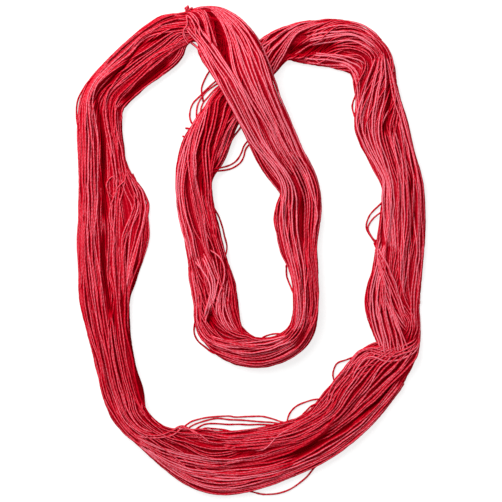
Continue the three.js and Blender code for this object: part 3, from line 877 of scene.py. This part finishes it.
# Turns that have slipped out of the hank's edge and lie loose on the table, in the same squares, with less
# painted light.
LOOSE_TURNS = (
    (1, 0.5, ((386, 198), (380, 205), (373, 211), (368, 218), (366, 227), (368, 233), (373, 240),
      (380, 250))),
    (1, 0.5, ((388, 205), (381, 212), (374, 218), (369, 224), (368, 230), (372, 238), (380, 246))),
    (1, 0.4, ((354, 357), (345, 360), (337, 363), (334, 370), (333, 376), (336, 386))),
    (1, 0.4, ((332, 399), (324, 398.5), (312, 400), (302, 403), (294, 408), (289, 414), (287, 422),
      (290, 430))),
    (1, 0.4, ((330, 402), (321, 402), (312, 405), (307, 410), (303, 414), (299, 420))),
    (1, 0.4, ((318, 464), (312, 470), (308, 475), (300, 482), (290, 489), (280, 492.5), (268, 494),
      (258, 493.5), (246, 490))),
    (1, 0.4, ((210, 70), (207, 76), (203, 84), (201.5, 92), (204, 102))),
    (1, 0.5, ((222, 77), (214, 83), (206, 90), (199, 97), (193, 104), (190, 112), (190.5, 120),
      (196, 128))),
    (1, 0.5, ((221, 81), (212, 87.5), (206, 92.5), (201, 99), (198, 106), (196.5, 113), (197, 122))),
    (1, 0.5, ((222, 84), (213, 91), (207, 98), (203, 104), (201, 112), (203, 120))),
    (1, 0.5, ((194, 131), (189, 129), (185.5, 128.5))),
    (1, 0.5, ((190, 138), (186, 137.5), (182.5, 136.5))),
    (1, 0.5, ((187, 155), (183, 154), (180, 153.5))),
    (1, 0.4, ((205, 172), (214, 172), (230, 169), (240, 163), (244, 156), (246, 149), (252, 142))),
    (1, 0.4, ((207, 170), (216, 169.5), (229, 166), (237, 161), (241, 154), (244, 146), (250, 138))),
    (1, 0.4, ((98, 74), (90, 80), (80, 95), (76.5, 108), (78, 125), (84, 138))),
    (1, 0.4, ((197, 317), (194.5, 325), (194.5, 333), (198, 341), (205, 347), (213, 352.5), (224, 354))),
    (1, 0.4, ((289, 262), (285.5, 267), (288, 279), (292, 291), (295, 299), (299, 308))),
    (1, 0.4, ((359, 92), (354, 97), (352, 108), (354, 117), (360, 128))),
    (1, 0.4, ((207, 193), (211.5, 203), (217, 213), (222, 226), (225.5, 238), (226.8, 247), (225.5, 254),
      (221, 263))),
    (1, 0.5, ((180, 430), (190, 422), (200, 418.5), (210, 417), (228, 416), (235, 417.5), (250, 416.5),
      (262, 416), (270, 418), (281, 422), (294, 424))),
    (1, 0.5, ((185, 431), (195, 424), (215, 419), (230, 420), (255, 421), (276, 423), (290, 427))),
    (1, 0.5, ((193, 431), (205, 424), (230, 424), (255, 425), (272, 425), (286, 428))),
    (1, 0.5, ((195, 433), (205, 428), (213, 429), (225, 430), (240, 432))),
    (1, 0.4, ((258, 341), (265, 336.5), (272, 334.5), (280, 333.5), (289, 335))),
    (1, 0.4, ((283, 197), (278, 204), (275, 211), (274, 219), (276, 230), (281, 242))),
)
# How these turns are laid: each is let down on a map of heights, which holds how high the hank has
# grown over each small cell of the table. Lengths are millimetres.
STRAND_STEP = 0.9  # from one point of a turn to the next
PITCH = 0.98  # least distance from one turn to the next in a row
WANDER_STEP = 20.0  # length over which a turn wanders to one side
WANDER = 0.28  # and how far it does, as a share of the distance between turns
ASIDE = 0.15  # how far the whole turn lies to one side, as the same share
UNEVEN_ENDS = 3  # points by which a row's ends differ
SHORT = 24  # points of a row with even ends
CRIMP_STEP, CRIMP = 4.0, 0.11
SUNK, END_LENGTH = 1.0, 4.0  # how far a turn's ends go down among the others, and over what length
BRIDGE, STIFFNESS = 5, 0.6  # points that a turn bridges, and how much it lies on the highest of them
TENSION = np.array((1, 3, 6, 7, 6, 3, 1)) / 27  # how its height is evened out
BEDDED = -0.2  # height of its middle above what it lies on
NESTLED = 0.16  # how far the next turn sinks in beside it
PAINTED_LIGHT_SCALES = (0.62, 1.08)  # range of a random scale on each turn's painted light and shade
END_PAINTED_SHADE = 0.45  # painted shade on their ends, down among the others
GUIDE_POINTS = 16  # of a smooth line, from one given place to the next
MEASURE_POINTS = 60  # of a line whose length is measured
SPARE_POINTS = 8  # of a line, past what its length calls for
LEAST_POINTS = 6  # of a turn
STAMPS = 4  # marks on the map for each step of a thread
BED_STAMPS = (84, 8)  # and for the deep turns, across the hank and for each station
CELL = 0.3  # size of the map's cells
REACH = np.array((68.0, 94.0))  # half the map's size


def cells_at(spots):
    return np.floor((spots + REACH) / CELL).astype(int)


def stamp(tops, points):
    """Raise the map of heights where a thread passes."""
    share = np.arange(STAMPS)[None, :, None] / STAMPS
    fine = (points[:-1, None] * (1 - share) + points[1:, None] * share).reshape(-1, 3)
    cell = cells_at(fine[:, :2])
    for right in (-1, 0, 1):
        for ahead in (-1, 0, 1):
            near = np.clip(cell + (right, ahead), 0, np.array(tops.shape) - 1)
            off = np.hypot(*((near + 0.5) * CELL - REACH - fine[:, :2]).T)
            rise = np.sqrt(np.maximum(radius**2 - off**2, 0))
            np.maximum.at(tops, (near[:, 0], near[:, 1]), np.where(off < radius, fine[:, 2] + rise, 0))


def stamp_bed(tops, stations):
    """Raise the map of heights to the top of the deep turns along some of the hank's stations."""
    across, steps = BED_STAMPS
    lane_at = np.linspace(0, LANES - 1, across)
    for station in stations:
        for share in np.arange(steps) / steps:
            row = deep_bed[:, station] * (1 - share) + deep_bed[:, (station + 1) % STATIONS] * share
            row = np.stack([np.interp(lane_at, np.arange(LANES), column) for column in row.T], axis=1)
            cell = cells_at(row[:, :2])
            np.maximum.at(tops, (cell[:, 0], cell[:, 1]), row[:, 2])


def stamp_hank(tops, lifted):
    """Raise the map of heights to the hank where it is lifted off the table, or where it lies on it."""
    for run in np.split(np.arange(len(thread)), np.flatnonzero(np.diff(raised)) + 1):
        if raised[run[0]] == lifted and len(run) > 1:
            stamp(tops, thread[run])
    stamp_bed(tops, np.flatnonzero((lift > RAISED) == lifted))


def smooth_line(guide, count):
    """A smooth line through a guide's points, in millimetres, at even steps."""
    points = in_mm(guide)
    ends = 2 * points[:1] - points[1:2], 2 * points[-1:] - points[-2:-1]
    points = np.vstack([ends[0], points, ends[1]])
    a, b, c, d = (points[n : len(points) - 3 + n, None] for n in range(4))
    t = (np.arange(GUIDE_POINTS) / GUIDE_POINTS)[None, :, None]
    curve = np.vstack([smooth_between(a, b, c, d, t).reshape(-1, 2), points[-2:-1]])
    return at_even_steps(curve, count)


def at_even_steps(curve, count):
    along = np.concatenate([[0], np.cumsum(np.linalg.norm(np.diff(curve, axis=0), axis=1))])
    steps = np.linspace(0, along[-1], count)
    return np.stack([np.interp(steps, along, column) for column in curve.T], axis=1)


def length_of(line):
    return np.linalg.norm(np.diff(line, axis=0), axis=1).sum()


def lay(tops, plan, painted_light_share):
    """Let a turn down along its plan on to the map of heights, with its two ends in among the others, and
    give its painted light along it, with painted shade on its ends.
    """
    length = length_of(plan)
    plan = at_even_steps(plan, max(int(length / STRAND_STEP), LEAST_POINTS))
    knots = int(length / CRIMP_STEP) + 3
    knot_at = np.linspace(0, knots - 1, len(plan))
    crimps = [np.interp(knot_at, np.arange(knots), rng.normal(0, CRIMP, knots)) for _ in range(2)]
    plan = plan + np.stack(crimps, axis=1)
    cell = np.clip(cells_at(plan), 0, np.array(tops.shape) - 1)
    level = np.pad(tops[cell[:, 0], cell[:, 1]], BRIDGE + 1, mode="edge")
    windows = np.array([level[n : len(level) - BRIDGE + 1 + n] for n in range(BRIDGE)])
    bridged = STIFFNESS * windows.max(axis=0) + (1 - STIFFNESS) * windows.mean(axis=0)
    tensed = np.convolve(bridged, TENSION, mode="same")[BRIDGE - 1 : 1 - BRIDGE]
    from_end = np.minimum(np.arange(len(plan)), np.arange(len(plan))[::-1]) * STRAND_STEP
    rising = np.clip(from_end / END_LENGTH, 0, 1)
    rising = rising**2 * (3 - 2 * rising)
    height = np.maximum(tensed + BEDDED - SUNK * (1 - rising), radius)
    strand = np.column_stack([plan, height])
    stamp(tops, strand - (0, 0, NESTLED))
    steps = np.linspace(0, 1, np.size(painted_light_share))
    along = np.interp(np.linspace(0, 1, len(plan)), steps, np.ravel(painted_light_share))
    return strand, along * rng.uniform(*PAINTED_LIGHT_SCALES) * (END_PAINTED_SHADE + (1 - END_PAINTED_SHADE) * rising)


def lay_turns(tops, table):
    """Lay each row's turns side by side between its lines, wandering a little from one to the other."""
    strands = []
    for count, painted_light_share, *guides in table:
        length = max(length_of(smooth_line(guide, MEASURE_POINTS)) for guide in guides)
        fine = int(length / STRAND_STEP) + SPARE_POINTS
        lines = np.array([smooth_line(guide, fine) for guide in guides])
        knots = int(length / WANDER_STEP) + 3
        at, knot_at = np.linspace(0, 1, fine), np.linspace(0, 1, knots)
        breadth = np.linalg.norm(lines[-1] - lines[0], axis=1).mean()
        count = max(min(count, round(breadth / PITCH)), 1)
        for number in range(count):
            wander = np.interp(at, knot_at, rng.normal(0, WANDER, knots))
            aside = number + 0.5 + rng.uniform(-ASIDE, ASIDE) + wander
            share = np.clip(aside / count, 0, 1) * (len(guides) - 1)
            low = np.minimum(share.astype(int), max(len(guides) - 2, 0))
            high = np.minimum(low + 1, len(guides) - 1)
            mix = (share - low)[:, None]
            plan = lines[low, np.arange(fine)] * (1 - mix) + lines[high, np.arange(fine)] * mix
            uneven = fine > SHORT and count > 1
            start, finish = rng.integers(0, UNEVEN_ENDS, 2) if uneven else (0, 0)
            strands.append(lay(tops, plan[start : fine - finish], painted_light_share))
    return strands


heights = np.zeros(tuple((2 * REACH / CELL).astype(int)))
stamp_hank(heights, False)
top_turns = lay_turns(heights, LOWER_TURNS)
loose_turns = lay_turns(heights, LOOSE_TURNS)
stamp_hank(heights, True)
top_turns += lay_turns(heights, UPPER_TURNS)
TOP_SIDES = 6
TOP_RADIUS = 0.41
LOOSE_RADIUS = 0.33
thread_mesh("hank_top_turns", "hank", top_turns, TOP_SIDES, TOP_RADIUS)
thread_mesh("hank_loose_turns", "hank", loose_turns, TOP_SIDES, LOOSE_RADIUS)

# Tie
# A length of the same thread taken once round the hank at the fold and knotted at the outer edge,
# with its two ends cut short.
TIE_LINE = ((186.5, 10), (186, 14), (187.3, 21), (187.3, 26.5), (184.3, 31), (183.6, 36), (185.5, 41),
            (188, 44))
TIE_ENDS = (((186.5, 11), (186.8, 9), (188.3, 6.8)), ((187, 11), (189.4, 10.6), (192.4, 8.6)))
TIE_KNOT = (187, 9.6)
TIE_POINTS, END_POINTS, KNOT_POINTS = 24, 10, 28
# Painted light on the tie, its cut ends and its knot; the lower values are painted shade on the ends and
# knot.
TIE_PAINTED_LIGHT, TIE_END_PAINTED_LIGHT, KNOT_PAINTED_LIGHT = 0.85, 0.6, 0.5
TIE_BRIDGE = 7  # points that the tie bridges
TIE_RISE = 0.5 * radius  # height of its middle above the turns that it lies on
TIE_UNDER = radius + 0.1  # and above the table, below the hank
END_ARCH = 0.6
KNOT_REACH = (0.55, 0.4, 0.25)  # of the coil, to the right, ahead and up
KNOT_TURNS, KNOT_STEP = 1.25, 0.04
over = smooth_line(TIE_LINE, TIE_POINTS)
cell = cells_at(over)
level = np.pad(heights[cell[:, 0], cell[:, 1]], TIE_BRIDGE // 2, mode="edge")
over_height = np.convolve(level, np.ones(TIE_BRIDGE) / TIE_BRIDGE, mode="valid")
over_height = np.maximum(over_height + TIE_RISE, radius)
ring = np.vstack([
    np.column_stack([over, over_height]),
    np.column_stack([over[::-1], np.full(TIE_POINTS, TIE_UNDER)]),
])
ring = np.vstack([ring, ring[:2]])
lengths = [(ring, np.full(len(ring), TIE_PAINTED_LIGHT))]
knot_height = over_height[2]
for end in TIE_ENDS:
    rise = knot_height + TIE_RISE + END_ARCH * np.sin(np.linspace(0, math.pi, END_POINTS))
    end = np.column_stack([smooth_line(end, END_POINTS), rise])
    lengths.append((end, np.full(END_POINTS, TIE_END_PAINTED_LIGHT)))
coil = np.linspace(0, KNOT_TURNS * 2 * math.pi, KNOT_POINTS)
knot_x, knot_y = in_mm(TIE_KNOT)
knot = np.column_stack([
    knot_x + KNOT_REACH[0] * np.cos(coil),
    knot_y + KNOT_REACH[1] * np.sin(coil) + KNOT_STEP * coil,
    knot_height + radius + KNOT_REACH[2] * np.sin(1.5 * coil),
])
lengths.append((knot, np.full(KNOT_POINTS, KNOT_PAINTED_LIGHT)))
thread_mesh("tie_thread", "tie", lengths, TOP_SIDES, radius)

# Table and light
# A plain white table top, lit by one broad soft lamp from the upper left and a weak one from the right.
TABLE_SIZE = 4.0
TABLE_LOOK = {
    "Base Color": (0.34, 0.34, 0.34, 1),
    "Roughness": 0.8,
    "Emission Color": (1, 1, 1, 1),
    "Emission Strength": 0.75,
}
# Place and size in metres, and power in watts.
LAMPS = {
    "key_lamp": ((-0.42, 0.5, 0.42), 0.7, 10.3),
    "fill_lamp": ((0.6, -0.2, 0.6), 0.6, 0.4),
}
ROOM_LIGHT = 0.38
bpy.ops.object.select_all(action="DESELECT")
bpy.ops.mesh.primitive_plane_add(size=TABLE_SIZE, location=(0, 0, 0))
table = bpy.context.object
table.name = "table"
white = bpy.data.materials.new("white_table")
white.use_nodes = True
for socket, value in TABLE_LOOK.items():
    white.node_tree.nodes["Principled BSDF"].inputs[socket].default_value = value
table.data.materials.append(white)

for name, (spot, size, power) in LAMPS.items():
    bpy.ops.object.light_add(type="AREA", location=spot)
    lamp = bpy.context.object
    lamp.name = name
    lamp.data.size = size
    lamp.data.energy = power
    lamp.rotation_euler = (-lamp.location).to_track_quat("-Z", "Y").to_euler()
room = bpy.data.worlds.new("room")
bpy.context.scene.world = room
room.use_nodes = True
room.node_tree.nodes["Background"].inputs["Color"].default_value = (1, 1, 1, 1)
room.node_tree.nodes["Background"].inputs["Strength"].default_value = ROOM_LIGHT
bpy.context.scene.view_settings.view_transform = "Standard"
